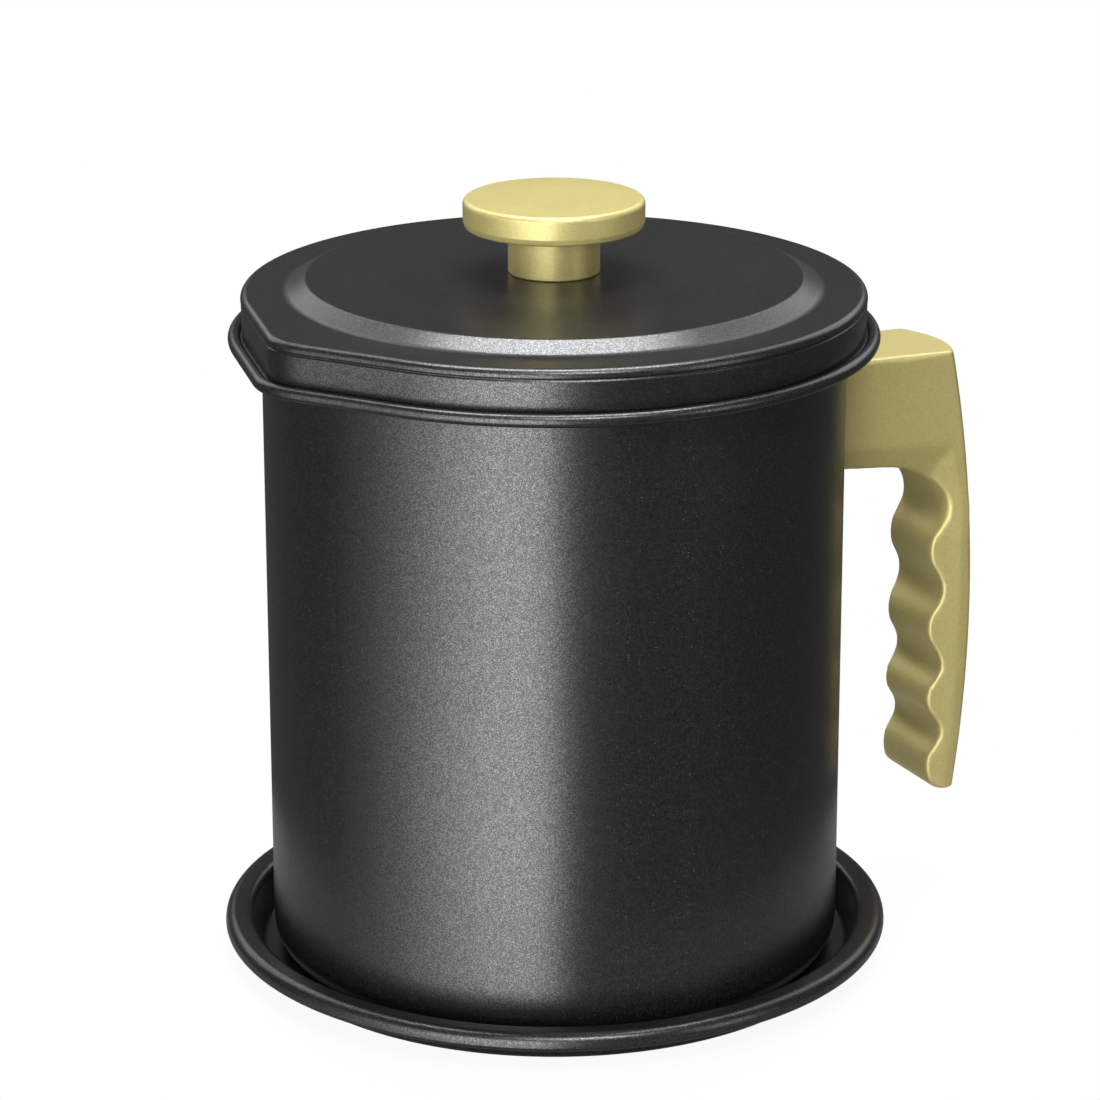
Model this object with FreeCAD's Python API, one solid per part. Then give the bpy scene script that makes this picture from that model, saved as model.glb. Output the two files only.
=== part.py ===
import FreeCAD, Part
import math
import os

# Grease pot with strainer, lid and drip tray. Millimetres, +Z up.
# The origin is on the pot's axis at the table. The handle points along +X.

# Drip tray
TRAY_SHEET = 0.8
TRAY_POT_GAP = 3.0
TRAY_FLARE = 2.9
TRAY_RIM_WIDTH = 6.2
TRAY_HEIGHT = 9.7
TRAY_ROLL_DEPTH = 3.9
TRAY_CURL = 2.6
TRAY_CURL_RISE = 1.6
TRAY_BEND_R = 1.6
TRAY_ROLL_R = 0.9

# Pot
POT_R = 70.0
POT_SHEET = 0.8
POT_HEIGHT = 156.4
POT_CORNER_R = 8.0
NECK_R = 1.0
NECK_WIDTH = 2.0
SHELF_WIDTH = 6.35
SHELF_SHEET = 0.8
BEAD_WIRE_R = 1.6
BEAD_RISE = 1.0

# Pouring nose, shared by the pot's shelf and the lid
NOSE_ANGLE = 192.0
NOSE_HALF_ANGLE = 24.0
NOSE_TIP_R = 18.0

# Lid
LID_SHEET = 0.7
LID_HEIGHT = 10.65
LID_EDGE_R = 2.0
LID_BEAD_GAP = 0.2
LID_SEAT_GAP = 0.05
BRIM_HEIGHT = 3.0
BRIM_STEP = 0.35
RING_WIDTH = 10.45
DISC_SLOPE = 4.75
DISC_RISE = 2.9
DISC_CROWN = 0.7

# Knob
STEM_R = 11.0
STEM_HEIGHT = 11.0
CAP_R = 21.7
CAP_HEIGHT = 7.6
CAP_EDGE_R = 2.6
CAP_SKIRT_EDGE = 0.8
INSERT_R = 4.0
INSERT_LENGTH = 5.0
LID_SCREW_R = 2.0
LID_SCREW_HEAD_R = 4.0
LID_SCREW_HEAD_H = 2.6
LID_SCREW_EDGE_R = 1.0
KNOB_WASHER_R = 6.5
KNOB_WASHER_H = 1.0

# Strainer
STRAINER_SHEET = 0.5
STRAINER_RIM_GAP = 0.65
STRAINER_WALL_GAP = 2.0
STRAINER_TAPER = 7.2
STRAINER_DEPTH = 30.0
STRAINER_BEND_R = 3.0
STRAINER_RIM_BEND_R = 1.0
STRAINER_LEDGE = 11.0
SCREEN_LAP = 4.0
SCREEN_SHEET = 0.5
SCREEN_HOLE_R = 1.5
SCREEN_PITCH = 5.2
SCREEN_RING_LAP = 1.0
SCREEN_RING_SHEET = 0.5
SCREEN_RING_BEND_R = 0.6

# Handle
HANDLE_DROP = 14.0
HANDLE_TOP_FALL = 0.035
HANDLE_HALF_WIDTH = 12.5
HANDLE_REACH = 45.0
ROOT_DRAFT = 1.5
ROOT_EVEN = 11.0
ROOT_HEIGHT = 27.9
ROOT_UNDER_FALL = 0.11
ROOT_BEVEL_H = 6.0
ROOT_BEND_X = 14.0
ROOT_BEND_REACH = 10.0
SPINE_CREST_DROP = 40.7
SPINE_RADIUS = 330.0
SPINE_CROWN_R = 22.0
SPINE_TURN_UP = 16.0
SPINE_TURN_DOWN = 12.0
FLAT_WIDTH = 3.1
BEVEL_ANGLE = 17.0
GRIP_DEPTH = 28.0
FINGER_GAP = 30.2
GROOVE_DEPTH = 3.7
GROOVE_PITCHES = (21.5, 20.2, 17.8, 17.8)
GROOVE_BEND_REACH = 7.0
FIRST_GROOVE_DROP = 15.0
GRIP_END_DROP = 6.7
GRIP_END_R = 5.0
GRIP_END_RISE = 1.5
HANDLE_WALL_GAP = 0.1

# Handle fixing
FIXING_DROP = 15.2
PLATE_WIDTH = 18.0
PLATE_HEIGHT = 24.0
PLATE_SHEET = 1.5
SLEEVE_SIDE = 13.0
SLEEVE_SHEET = 1.5
SLEEVE_LENGTH = 17.0
SLEEVE_CLEARANCE = 0.2
NUT_THICKNESS = 5.0
HANDLE_SCREW_R = 2.5
HANDLE_SCREW_HEAD_R = 4.5
HANDLE_SCREW_HEAD_H = 3.0
HANDLE_SCREW_EDGE_R = 0.8
HANDLE_SCREW_RUN_OUT = 2.0
HEAD_CLEARANCE = 0.5
SPRING_WASHER_R = 4.4
SPRING_WASHER_H = 1.2
THREAD_CLEARANCE = 0.05
HOLE_CLEARANCE = 0.25
SCREW_SHOULDER = 4.0

# How far a cutting or trimming form stands past what it cuts
OVERRUN = 10.0

UP = FreeCAD.Vector(0, 0, 1)
ORIGIN = FreeCAD.Vector(0, 0, 0)

TRAY_FOOT_R = POT_R + TRAY_POT_GAP
TRAY_RIM_R = TRAY_FOOT_R + TRAY_FLARE
TRAY_OUTER_R = TRAY_RIM_R + TRAY_RIM_WIDTH

POT_FLOOR_Z = TRAY_SHEET
POT_INNER_R = POT_R - POT_SHEET
SHELF_Z = POT_FLOOR_Z + POT_HEIGHT
SHELF_UNDER_Z = SHELF_Z - SHELF_SHEET
BEAD_R = POT_R + SHELF_WIDTH
BEAD_Z = SHELF_Z - BEAD_WIRE_R + BEAD_RISE

LID_R = BEAD_R - BEAD_WIRE_R - LID_BEAD_GAP
LID_FOOT_Z = SHELF_Z + LID_SEAT_GAP
LID_TOP_Z = LID_FOOT_Z + LID_HEIGHT
DISC_FOOT_R = LID_R - RING_WIDTH
DISC_R = DISC_FOOT_R - DISC_SLOPE
DISC_Z = LID_TOP_Z + DISC_RISE
STEM_FOOT_Z = DISC_Z + DISC_CROWN
CAP_FOOT_Z = STEM_FOOT_Z + STEM_HEIGHT
CAP_TOP_Z = CAP_FOOT_Z + CAP_HEIGHT
WASHER_SEAT_Z = STEM_FOOT_Z - LID_SHEET

STRAINER_RIM_R = LID_R - LID_SHEET - STRAINER_RIM_GAP
STRAINER_TOP_R = POT_INNER_R - STRAINER_WALL_GAP
STRAINER_FLOOR_R = STRAINER_TOP_R - STRAINER_TAPER
STRAINER_SEAT_Z = SHELF_Z + STRAINER_SHEET
STRAINER_FLOOR_Z = STRAINER_SEAT_Z - STRAINER_DEPTH
SCREEN_WINDOW_R = STRAINER_FLOOR_R - STRAINER_LEDGE
SCREEN_R = SCREEN_WINDOW_R + SCREEN_LAP
SCREEN_RING_R = SCREEN_R + SCREEN_RING_LAP
SCREEN_RINGS = int((SCREEN_WINDOW_R - SCREEN_HOLE_R) / SCREEN_PITCH)

HANDLE_TOP_Z = SHELF_Z - HANDLE_DROP
ROOT_UNDER_Z = HANDLE_TOP_Z - ROOT_HEIGHT
FIRST_GROOVE_Z = ROOT_UNDER_Z - FIRST_GROOVE_DROP
SPINE_X = POT_R + HANDLE_REACH
SPINE_CREST_Z = ROOT_UNDER_Z - SPINE_CREST_DROP
GRIP_FINGER_X = POT_R + FINGER_GAP
LAST_BUMP_Z = FIRST_GROOVE_Z - sum(GROOVE_PITCHES) + GROOVE_PITCHES[-1] / 2
GRIP_END_Z = LAST_BUMP_Z - GRIP_END_DROP

FIXING_Z = HANDLE_TOP_Z - FIXING_DROP
PLATE_FACE_X = POT_R + PLATE_SHEET
SLEEVE_END_X = PLATE_FACE_X + SLEEVE_LENGTH
NUT_X = SLEEVE_END_X - NUT_THICKNESS
SCREW_SEAT_X = SLEEVE_END_X + SCREW_SHOULDER


def point(x, z):
    return FreeCAD.Vector(x, 0, z)


def cylinder(radius, height, base, axis=UP):
    return Part.makeCylinder(radius, height, base, axis)


def spin(face):
    return face.revolve(ORIGIN, UP, 360)


def closed_face(edges):
    return Part.Face(Part.Wire(edges))


def polygon_face(points):
    return Part.Face(Part.makePolygon(list(points) + [points[0]]))


def rounded_path(points, radii):
    # Lines through the points, each inner corner rounded by its own radius
    edges = []
    start = points[0]
    for before, corner, after, radius in zip(points, points[1:], points[2:], radii):
        if radius <= 0:
            edges.append(Part.makeLine(start, corner))
            start = corner
            continue
        back = (before - corner).normalize()
        ahead = (after - corner).normalize()
        half = back.getAngle(ahead) / 2
        reach = radius / math.tan(half)
        middle = (back + ahead).normalize()
        centre = corner + middle * (radius / math.sin(half))
        entry = corner + back * reach
        leave = corner + ahead * reach
        if (entry - start).Length > 1e-6:
            edges.append(Part.makeLine(start, entry))
        edges.append(Part.Arc(entry, centre - middle * radius, leave).toShape())
        start = leave
    if (points[-1] - start).Length > 1e-6:
        edges.append(Part.makeLine(start, points[-1]))
    return edges


def shifted_path(points, radii, offset):
    # The same path moved sideways, to the left of its direction
    lines = []
    for first, second in zip(points, points[1:]):
        along = (second - first).normalize()
        side = FreeCAD.Vector(-along.z, 0, along.x) * offset
        lines.append((first + side, second + side, along))
    moved = [lines[0][0]]
    new_radii = []
    for (start, _, along), (other, _, onward), radius in zip(lines, lines[1:], radii):
        turn = along.x * onward.z - along.z * onward.x
        gap = other - start
        step = (gap.x * onward.z - gap.z * onward.x) / turn
        moved.append(start + along * step)
        new_radii.append(radius - offset if turn > 0 else radius + offset)
    moved.append(lines[-1][1])
    return moved, [max(radius, 0) for radius in new_radii]


def sheet_face(points, radii, sheet):
    # Cross-section of sheet metal, from the path through the middle of the sheet
    left = rounded_path(*shifted_path(points, radii, sheet / 2))
    right = rounded_path(*shifted_path(points, radii, -sheet / 2))
    first = Part.makeLine(left[0].Vertexes[0].Point, right[0].Vertexes[0].Point)
    last = Part.makeLine(left[-1].Vertexes[-1].Point, right[-1].Vertexes[-1].Point)
    return Part.Face(Part.Wire(Part.sortEdges(left + right + [first, last])[0]))


def nose_outline(radius, z):
    # Circle with two straight tangents that meet in a rounded pouring nose
    half = math.radians(NOSE_HALF_ANGLE)
    tip_r = NOSE_TIP_R - BEAD_R + radius
    tip_x = (radius - tip_r) / math.cos(half)
    up_normal = FreeCAD.Vector(math.cos(half), math.sin(half), 0)
    down_normal = FreeCAD.Vector(math.cos(half), -math.sin(half), 0)
    level = FreeCAD.Vector(0, 0, z)
    tip = FreeCAD.Vector(tip_x, 0, z)
    body = Part.Arc(level + up_normal * radius, level - FreeCAD.Vector(radius, 0, 0),
                    level + down_normal * radius).toShape()
    nose = Part.Arc(tip + down_normal * tip_r, tip + FreeCAD.Vector(tip_r, 0, 0),
                    tip + up_normal * tip_r).toShape()
    lower = Part.makeLine(level + down_normal * radius, tip + down_normal * tip_r)
    upper = Part.makeLine(tip + up_normal * tip_r, level + up_normal * radius)
    wire = Part.Wire([body, lower, nose, upper])
    wire.rotate(ORIGIN, UP, NOSE_ANGLE)
    return wire


def nose_plate(radius, bottom, top):
    return Part.Face(nose_outline(radius, bottom)).extrude(UP * (top - bottom))


def one_solid(shape):
    return shape.removeSplitter().Solids[0]


def drip_tray():
    # Pressed dish whose rim turns down and curls back under itself
    middle = TRAY_SHEET / 2
    rim = TRAY_HEIGHT - middle
    edge = TRAY_OUTER_R - middle
    low = TRAY_HEIGHT - TRAY_ROLL_DEPTH + middle
    path = [point(0, middle), point(TRAY_FOOT_R, middle), point(TRAY_RIM_R, rim), point(edge, rim),
            point(edge, low), point(edge - TRAY_CURL, low), point(edge - TRAY_CURL, low + TRAY_CURL_RISE)]
    bends = [TRAY_BEND_R, TRAY_BEND_R, TRAY_BEND_R, TRAY_ROLL_R, TRAY_ROLL_R]
    return spin(sheet_face(path, bends, TRAY_SHEET)).Solids[0]


def pot_shell():
    # Drawn cup whose top turns out into the shelf, with the rolled bead round it
    half = POT_SHEET / 2
    neck_r = POT_R + NECK_WIDTH
    path = [point(0, POT_FLOOR_Z + half), point(POT_R - half, POT_FLOOR_Z + half),
            point(POT_R - half, SHELF_Z - half), point(neck_r, SHELF_Z - half)]
    cup = spin(sheet_face(path, [POT_CORNER_R - half, NECK_R], POT_SHEET))
    shelf = nose_plate(BEAD_R, SHELF_UNDER_Z, SHELF_Z)
    shelf = shelf.cut(cylinder(neck_r - NECK_WIDTH / 4, 2 * SHELF_Z, ORIGIN))
    path_wire = nose_outline(BEAD_R, BEAD_Z)
    first = path_wire.Edges[0]
    ring = Part.Wire(Part.makeCircle(BEAD_WIRE_R, first.Vertexes[0].Point,
                                     first.tangentAt(first.FirstParameter)))
    bead = Part.Wire(path_wire.Edges).makePipeShell([ring], True, True)
    return one_solid(cup.fuse([shelf, bead]))


def lid_body(foot_z, inset):
    # Outer or inner form of the lid, the inner one smaller by the sheet
    top = LID_TOP_Z - inset
    block = nose_plate(LID_R - inset, foot_z, top - BRIM_HEIGHT / 2)
    brim = nose_plate(LID_R + BRIM_STEP - inset, top - BRIM_HEIGHT, top)
    rounded = [edge for edge in brim.Edges if abs(edge.BoundBox.ZMin - top) < 1e-6]
    brim = brim.makeFillet(max(LID_EDGE_R - inset, 0.5), rounded)
    low = top - BRIM_HEIGHT / 2
    dome = [point(0, low), point(DISC_FOOT_R - inset, low),
            point(DISC_FOOT_R - inset, top), point(DISC_R - inset, DISC_Z - inset),
            point(STEM_R, STEM_FOOT_Z - inset), point(0, STEM_FOOT_Z - inset)]
    return block.fuse([brim, spin(polygon_face(dome))])


def lid_shell():
    outside = lid_body(LID_FOOT_Z, 0)
    inside = lid_body(LID_FOOT_Z - 1, LID_SHEET)
    hole = cylinder(LID_SCREW_R + HOLE_CLEARANCE, 2 * OVERRUN, FreeCAD.Vector(0, 0, STEM_FOOT_Z - OVERRUN))
    return one_solid(outside.cut(inside).cut(hole))


def knob_stem():
    stem = cylinder(STEM_R, STEM_HEIGHT, FreeCAD.Vector(0, 0, STEM_FOOT_Z))
    hole = cylinder(LID_SCREW_R + HOLE_CLEARANCE, STEM_HEIGHT, FreeCAD.Vector(0, 0, STEM_FOOT_Z))
    return one_solid(stem.cut(hole))


def knob_cap():
    cap = cylinder(CAP_R, CAP_HEIGHT, FreeCAD.Vector(0, 0, CAP_FOOT_Z))
    top_edge = [edge for edge in cap.Edges if edge.BoundBox.ZMin > CAP_TOP_Z - 0.01]
    cap = cap.makeFillet(CAP_EDGE_R, top_edge)
    low_edge = [edge for edge in cap.Edges if edge.BoundBox.ZMax < CAP_FOOT_Z + 0.01]
    cap = cap.makeFillet(CAP_SKIRT_EDGE, low_edge)
    return one_solid(cap.cut(cylinder(INSERT_R, INSERT_LENGTH, FreeCAD.Vector(0, 0, CAP_FOOT_Z))))


def knob_insert():
    base = FreeCAD.Vector(0, 0, CAP_FOOT_Z)
    return cylinder(INSERT_R, INSERT_LENGTH, base).cut(
        cylinder(LID_SCREW_R + THREAD_CLEARANCE, INSERT_LENGTH, base)).Solids[0]


def knob_washer():
    base = FreeCAD.Vector(0, 0, WASHER_SEAT_Z - KNOB_WASHER_H)
    return cylinder(KNOB_WASHER_R, KNOB_WASHER_H, base).cut(
        cylinder(LID_SCREW_R + HOLE_CLEARANCE, KNOB_WASHER_H, base)).Solids[0]


def knob_screw():
    seat = WASHER_SEAT_Z - KNOB_WASHER_H
    head = cylinder(LID_SCREW_HEAD_R, LID_SCREW_HEAD_H, FreeCAD.Vector(0, 0, seat - LID_SCREW_HEAD_H))
    low_edge = [edge for edge in head.Edges if edge.BoundBox.ZMax < seat - LID_SCREW_HEAD_H + 0.01]
    head = head.makeFillet(LID_SCREW_EDGE_R, low_edge)
    shank = cylinder(LID_SCREW_R, CAP_FOOT_Z + INSERT_LENGTH - 0.5 - seat, FreeCAD.Vector(0, 0, seat))
    slot = Part.makeBox(2 * LID_SCREW_HEAD_R, 0.9, 1.2,
                        FreeCAD.Vector(-LID_SCREW_HEAD_R, -0.45, seat - LID_SCREW_HEAD_H))
    cross = slot.copy()
    cross.rotate(ORIGIN, UP, 90)
    return one_solid(head.fuse(shank).cut(slot).cut(cross))


def strainer_basket():
    # Spun bowl that hangs by its rim on the pot's shelf, with a window in its floor
    half = STRAINER_SHEET / 2
    path = [point(SCREEN_WINDOW_R, STRAINER_FLOOR_Z + half), point(STRAINER_FLOOR_R, STRAINER_FLOOR_Z + half),
            point(STRAINER_TOP_R, STRAINER_SEAT_Z - half), point(STRAINER_RIM_R, STRAINER_SEAT_Z - half)]
    return spin(sheet_face(path, [STRAINER_BEND_R, STRAINER_RIM_BEND_R], STRAINER_SHEET)).Solids[0]


def mesh_screen():
    # Perforated disc: rings of holes, six more in each ring than in the last
    bottom = STRAINER_FLOOR_Z + STRAINER_SHEET
    disc = cylinder(SCREEN_R, SCREEN_SHEET, FreeCAD.Vector(0, 0, bottom))
    face = [f for f in disc.Faces if abs(f.CenterOfMass.z - bottom) < 1e-6][0]
    holes = [Part.Wire(Part.makeCircle(SCREEN_HOLE_R, FreeCAD.Vector(0, 0, bottom)))]
    for ring in range(1, SCREEN_RINGS + 1):
        for index in range(6 * ring):
            angle = 2 * math.pi * index / (6 * ring)
            place = FreeCAD.Vector(math.cos(angle), math.sin(angle), 0) * (ring * SCREEN_PITCH)
            holes.append(Part.Wire(Part.makeCircle(SCREEN_HOLE_R, place + UP * bottom)))
    sheet = Part.makeFace([face.OuterWire] + holes, "Part::FaceMakerBullseye")
    return sheet.extrude(UP * SCREEN_SHEET).Solids[0]


def mesh_ring():
    # Ring that laps over the screen's edge and holds it down on the basket's floor
    bottom = STRAINER_FLOOR_Z + STRAINER_SHEET + SCREEN_SHEET
    half = SCREEN_RING_SHEET / 2
    path = [point(SCREEN_WINDOW_R, bottom + half), point(SCREEN_RING_R, bottom + half),
            point(SCREEN_RING_R, bottom - SCREEN_SHEET)]
    return spin(sheet_face(path, [SCREEN_RING_BEND_R], SCREEN_RING_SHEET)).Solids[0]


def half_wave(start, finish):
    # Smooth run from one side of a groove to the next, upright at both ends
    reach = UP * ((finish.z - start.z) * 0.42)
    curve = Part.BezierCurve()
    curve.setPoles([start, start + reach, finish - reach, finish])
    return curve.toShape()


def finger_edges(bend, slope):
    # Finger side from the root's underside down its grooves to the rounded end
    z = FIRST_GROOVE_Z
    place = point(GRIP_FINGER_X + GROOVE_DEPTH, z)
    entry = Part.BezierCurve()
    entry.setPoles([bend, bend + slope * ROOT_BEND_REACH, place + UP * GROOVE_BEND_REACH, place])
    edges = [entry.toShape()]
    for pitch in GROOVE_PITCHES[:-1]:
        bump = point(GRIP_FINGER_X, z - pitch / 2)
        edges.append(half_wave(place, bump))
        z -= pitch
        place = point(GRIP_FINGER_X + GROOVE_DEPTH, z)
        edges.append(half_wave(bump, place))
    bump = point(GRIP_FINGER_X, LAST_BUMP_Z)
    edges.append(half_wave(place, bump))
    end = point(GRIP_FINGER_X + GRIP_END_R, GRIP_END_Z)
    last = Part.BezierCurve()
    last.setPoles([bump, bump - UP * (bump.z - GRIP_END_Z) * 0.6,
                   end - FreeCAD.Vector(GRIP_END_R * 0.6, 0, 0), end])
    edges.append(last.toShape())
    return edges, end


def handle_side():
    # Side view: root, top, rear, rounded end, four finger grooves and underside
    back = SPINE_X + OVERRUN
    root_x = POT_R - OVERRUN
    bend_x = GRIP_FINGER_X - ROOT_BEND_X
    top_root = point(root_x, HANDLE_TOP_Z - HANDLE_TOP_FALL * (root_x - POT_R))
    top_back = point(back, HANDLE_TOP_Z - HANDLE_TOP_FALL * (back - POT_R))
    bend = point(bend_x, ROOT_UNDER_Z - ROOT_UNDER_FALL * (bend_x - POT_R))
    under = point(root_x, ROOT_UNDER_Z - ROOT_UNDER_FALL * (root_x - POT_R))
    fingers, end = finger_edges(bend, FreeCAD.Vector(1, 0, -ROOT_UNDER_FALL))
    low_back = point(back, GRIP_END_Z + GRIP_END_RISE)
    edges = [Part.makeLine(under, bend)] + fingers
    edges += [Part.makeLine(end, low_back), Part.makeLine(low_back, top_back),
              Part.makeLine(top_back, top_root), Part.makeLine(top_root, under)]
    return closed_face(edges)


def rear_form(half_width, depth, bevelled):
    # Plan section with a crowned rear, turned about the spine's centre of curvature
    crown = SPINE_CROWN_R - math.sqrt(SPINE_CROWN_R ** 2 - half_width ** 2)
    edge_x = SPINE_X - crown
    ridge_x = edge_x - FLAT_WIDTH
    front_x = SPINE_X - depth
    front_half = half_width
    if bevelled:
        front_half = half_width - (ridge_x - front_x) * math.tan(math.radians(BEVEL_ANGLE))
    z = SPINE_CREST_Z
    right = [(edge_x, half_width), (ridge_x, half_width), (front_x, front_half)]
    points = [FreeCAD.Vector(x, y, z) for x, y in right]
    points += [FreeCAD.Vector(x, -y, z) for x, y in reversed(right)]
    edges = [Part.makeLine(a, b) for a, b in zip(points, points[1:])]
    rear = Part.Arc(points[-1], FreeCAD.Vector(SPINE_X, 0, z), points[0]).toShape()
    face = closed_face(edges + [rear])
    centre = FreeCAD.Vector(SPINE_X - SPINE_RADIUS, 0, z)
    side = FreeCAD.Vector(0, 1, 0)
    face.rotate(centre, side, SPINE_TURN_DOWN)
    return face.revolve(centre, side, -SPINE_TURN_DOWN - SPINE_TURN_UP)


def root_form():
    # Root block: sides drawn in slightly outward, lower edges bevelled
    reach = SPINE_X + OVERRUN
    inner = POT_R - OVERRUN
    even_x = SPINE_X - ROOT_EVEN
    near_half = HANDLE_HALF_WIDTH + math.tan(math.radians(ROOT_DRAFT)) * (even_x - inner)
    plan = [FreeCAD.Vector(inner, near_half, 0), FreeCAD.Vector(even_x, HANDLE_HALF_WIDTH, 0),
            FreeCAD.Vector(reach, HANDLE_HALF_WIDTH, 0), FreeCAD.Vector(reach, -HANDLE_HALF_WIDTH, 0),
            FreeCAD.Vector(even_x, -HANDLE_HALF_WIDTH, 0), FreeCAD.Vector(inner, -near_half, 0)]
    high = SHELF_Z + OVERRUN
    block = polygon_face(plan).extrude(UP * high)
    ridge_z = ROOT_UNDER_Z + ROOT_BEVEL_H
    rise = OVERRUN / 4
    wide = near_half + rise
    low = ROOT_HEIGHT
    slant = math.tan(math.radians(BEVEL_ANGLE))
    section = [FreeCAD.Vector(0, wide, ridge_z + rise / slant), FreeCAD.Vector(0, wide, high),
               FreeCAD.Vector(0, -wide, high), FreeCAD.Vector(0, -wide, ridge_z + rise / slant),
               FreeCAD.Vector(0, low * slant - near_half, ridge_z - low),
               FreeCAD.Vector(0, near_half - low * slant, ridge_z - low)]
    bevel = polygon_face(section).extrude(FreeCAD.Vector(2 * reach, 0, 0))
    return block.common(bevel)


def handle_body():
    side = handle_side()
    wide = HANDLE_HALF_WIDTH + OVERRUN
    side.translate(FreeCAD.Vector(0, -wide, 0))
    outline = side.extrude(FreeCAD.Vector(0, 2 * wide, 0))
    grip = rear_form(HANDLE_HALF_WIDTH, GRIP_DEPTH, True)
    full = rear_form(HANDLE_HALF_WIDTH + ROOT_EVEN / 2, HANDLE_REACH + 2 * OVERRUN, False)
    root = root_form().common(full)
    return outline.common(grip.fuse(root))


def level_box(start, length, side, high):
    # Box along X, centred on the axis of the handle's fixing
    return Part.makeBox(length, side, high, FreeCAD.Vector(start, -side / 2, FIXING_Z - high / 2))


def along_x(radius, start, length):
    return cylinder(radius, length, FreeCAD.Vector(start, 0, FIXING_Z), FreeCAD.Vector(1, 0, 0))


def weld_plate(outer, side, high):
    # Curved plate from the pot's axis outward, as wide and high as asked
    round_form = cylinder(outer, high, FreeCAD.Vector(0, 0, FIXING_Z - high / 2))
    return round_form.common(level_box(POT_R - 2 * OVERRUN, 4 * OVERRUN, side, high))


def handle_grip():
    room = 2 * SLEEVE_CLEARANCE
    body = handle_body().cut(cylinder(POT_R + HANDLE_WALL_GAP, 2 * SHELF_Z, ORIGIN))
    plate_room = weld_plate(PLATE_FACE_X + SLEEVE_CLEARANCE, PLATE_WIDTH + room, PLATE_HEIGHT + room)
    pocket_end = SLEEVE_END_X + SLEEVE_CLEARANCE
    pocket = level_box(POT_R - OVERRUN, pocket_end - POT_R + OVERRUN, SLEEVE_SIDE + room, SLEEVE_SIDE + room)
    hole = along_x(HANDLE_SCREW_R + HOLE_CLEARANCE, POT_R, HANDLE_REACH + OVERRUN)
    bore = along_x(HANDLE_SCREW_HEAD_R + HEAD_CLEARANCE, SCREW_SEAT_X, HANDLE_REACH)
    return one_solid(body.cut(plate_room).cut(pocket).cut(hole).cut(bore))


def handle_bracket():
    # Welded plate that follows the wall, with a square sleeve that enters the handle's root
    sleeve = level_box(POT_R, SLEEVE_END_X - POT_R, SLEEVE_SIDE, SLEEVE_SIDE)
    bore_side = SLEEVE_SIDE - 2 * SLEEVE_SHEET
    bore = level_box(PLATE_FACE_X, 2 * SLEEVE_LENGTH, bore_side, bore_side)
    plate = weld_plate(PLATE_FACE_X, PLATE_WIDTH, PLATE_HEIGHT)
    return one_solid(plate.fuse(sleeve.cut(bore)).cut(cylinder(POT_R, 2 * SHELF_Z, ORIGIN)))


def handle_nut():
    side = SLEEVE_SIDE - 2 * SLEEVE_SHEET
    block = level_box(NUT_X, NUT_THICKNESS, side, side)
    return block.cut(along_x(HANDLE_SCREW_R + THREAD_CLEARANCE, NUT_X, NUT_THICKNESS)).Solids[0]


def handle_washer():
    ring = along_x(SPRING_WASHER_R, SCREW_SEAT_X, SPRING_WASHER_H)
    return ring.cut(along_x(HANDLE_SCREW_R + HOLE_CLEARANCE, SCREW_SEAT_X, SPRING_WASHER_H)).Solids[0]


def handle_screw():
    seat = SCREW_SEAT_X + SPRING_WASHER_H
    tip = NUT_X - HANDLE_SCREW_RUN_OUT
    end = seat + HANDLE_SCREW_HEAD_H
    head = along_x(HANDLE_SCREW_HEAD_R, seat, HANDLE_SCREW_HEAD_H)
    outer = [edge for edge in head.Edges if edge.BoundBox.XMin > end - 0.01]
    head = head.makeFillet(HANDLE_SCREW_EDGE_R, outer)
    slot = level_box(end - HANDLE_SCREW_HEAD_H / 2, HANDLE_SCREW_HEAD_H, HANDLE_SCREW_HEAD_R / 4,
                     HANDLE_SCREW_HEAD_R * 1.4)
    cross = slot.copy()
    cross.rotate(FreeCAD.Vector(0, 0, FIXING_Z), FreeCAD.Vector(1, 0, 0), 90)
    return one_solid(head.fuse(along_x(HANDLE_SCREW_R, tip, seat - tip)).cut(slot).cut(cross))


PIECES = {
    "drip_tray": drip_tray,
    "pot_shell": pot_shell,
    "handle_bracket": handle_bracket,
    "handle_nut": handle_nut,
    "handle_grip": handle_grip,
    "handle_washer": handle_washer,
    "handle_screw": handle_screw,
    "strainer_basket": strainer_basket,
    "mesh_screen": mesh_screen,
    "mesh_ring": mesh_ring,
    "lid_shell": lid_shell,
    "knob_stem": knob_stem,
    "knob_cap": knob_cap,
    "knob_insert": knob_insert,
    "knob_washer": knob_washer,
    "knob_screw": knob_screw,
}

os.makedirs("parts", exist_ok=True)
for name, make in PIECES.items():
    solid = make()
    if not solid.isValid():
        raise ValueError(name + " is not a sound solid")
    box = solid.BoundBox
    print(name, round(solid.Volume / 1000, 2), "cm3", [round(v, 2) for v in
          (box.XMin, box.XMax, box.YMin, box.YMax, box.ZMin, box.ZMax)])
    solid.exportStep("parts/" + name + ".step")
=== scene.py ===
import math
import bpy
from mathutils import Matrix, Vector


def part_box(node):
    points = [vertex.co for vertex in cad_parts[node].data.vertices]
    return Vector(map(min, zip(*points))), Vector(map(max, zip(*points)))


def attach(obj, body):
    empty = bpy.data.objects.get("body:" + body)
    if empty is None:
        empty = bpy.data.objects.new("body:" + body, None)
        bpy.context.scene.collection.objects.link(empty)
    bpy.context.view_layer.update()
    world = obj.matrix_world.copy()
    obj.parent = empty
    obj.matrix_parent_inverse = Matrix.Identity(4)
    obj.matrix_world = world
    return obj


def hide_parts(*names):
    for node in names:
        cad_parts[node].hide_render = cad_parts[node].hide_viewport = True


bl_info = {
    "name": "Grease Pot",
    "version": (1, 0, 0),
    "blender": (4, 5, 0),
    "location": "View3D > Sidebar > Grease Pot",
    "description": "Coated steel grease pot with a gilt handle, knob, lid and drip tray",
    "category": "Object",
}

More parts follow.
